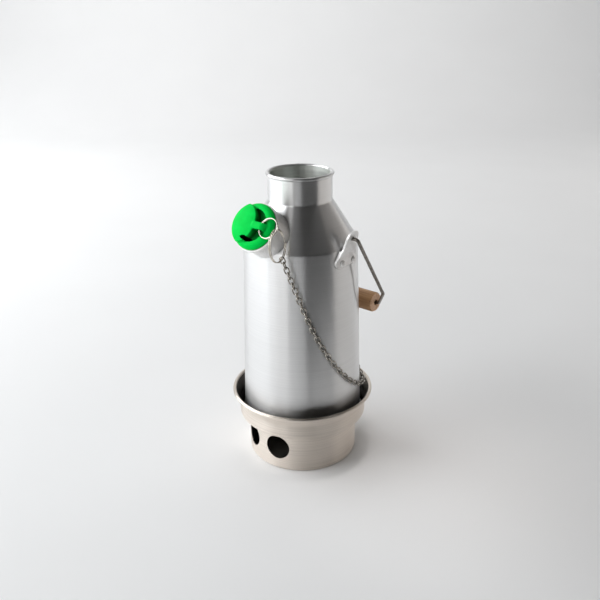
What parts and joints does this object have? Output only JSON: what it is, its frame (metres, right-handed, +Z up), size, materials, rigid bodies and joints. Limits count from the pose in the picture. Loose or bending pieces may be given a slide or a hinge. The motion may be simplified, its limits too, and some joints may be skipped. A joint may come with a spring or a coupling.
{
  "type": "storm kettle",
  "caption": "Aluminium chimney kettle with a water jacket, side spout with chained whistle stopper and wire bail with wooden grip, standing on its steel fire base.",
  "frame": {"origin": "centre of the fire base's underside", "axes": "+Z up along the chimney's axis, -Y the way the spout points, +X the side that the chain hangs on; the handle turns about X"},
  "size_m": [0.14, 0.1547, 0.2872],
  "materials": {
    "satin_aluminium": "satin, spun",
    "base_steel": "brushed in rings",
    "wire_steel": "bright wire",
    "whistle_steel": "bright",
    "grip_wood": "turned and oiled",
    "green_silicone": "moulded, semi-matte"
  },
  "bodies": {
    "base": {"fire_base": "base_steel"},
    "kettle": {"kettle_shell": "satin_aluminium", "flue": "satin_aluminium", "spout": "satin_aluminium", "left_bracket": "satin_aluminium", "right_bracket": "satin_aluminium", "left_bracket_rivets": "satin_aluminium", "right_bracket_rivets": "satin_aluminium", "chain_lug": "satin_aluminium", "lug_rivets": "satin_aluminium", "chain": "wire_steel", "lug_ring": "wire_steel"},
    "handle": {"handle_wire": "wire_steel"},
    "handle_grip": {"grip": "grip_wood"},
    "stopper": {"stopper": "green_silicone", "whistle_sleeve": "whistle_steel", "inner_whistle_plate": "whistle_steel", "outer_whistle_plate": "whistle_steel", "stopper_ring": "wire_steel", "link_ring": "wire_steel"}
  },
  "joints": [
    {"name": "kettle_lift", "type": "slide", "parent": "base", "child": "kettle", "axis": [0, 0, 1], "range_m": [0, 0.12]},
    {"name": "handle_swing", "type": "hinge", "parent": "kettle", "child": "handle", "pos_m": [0, 0, 0.23465], "axis": [1, 0, 0], "range_deg": [0, 285]},
    {"name": "grip_spin", "type": "hinge", "parent": "handle", "child": "handle_grip", "pos_m": [0, 0.06607, 0.14733], "axis": [1, 0, 0], "continuous": true},
    {"name": "stopper_pull", "type": "slide", "parent": "kettle", "child": "stopper", "axis": [0, -0.829, 0.5592], "range_m": [0, 0.03], "deforming": ["chain"]}
  ]
}
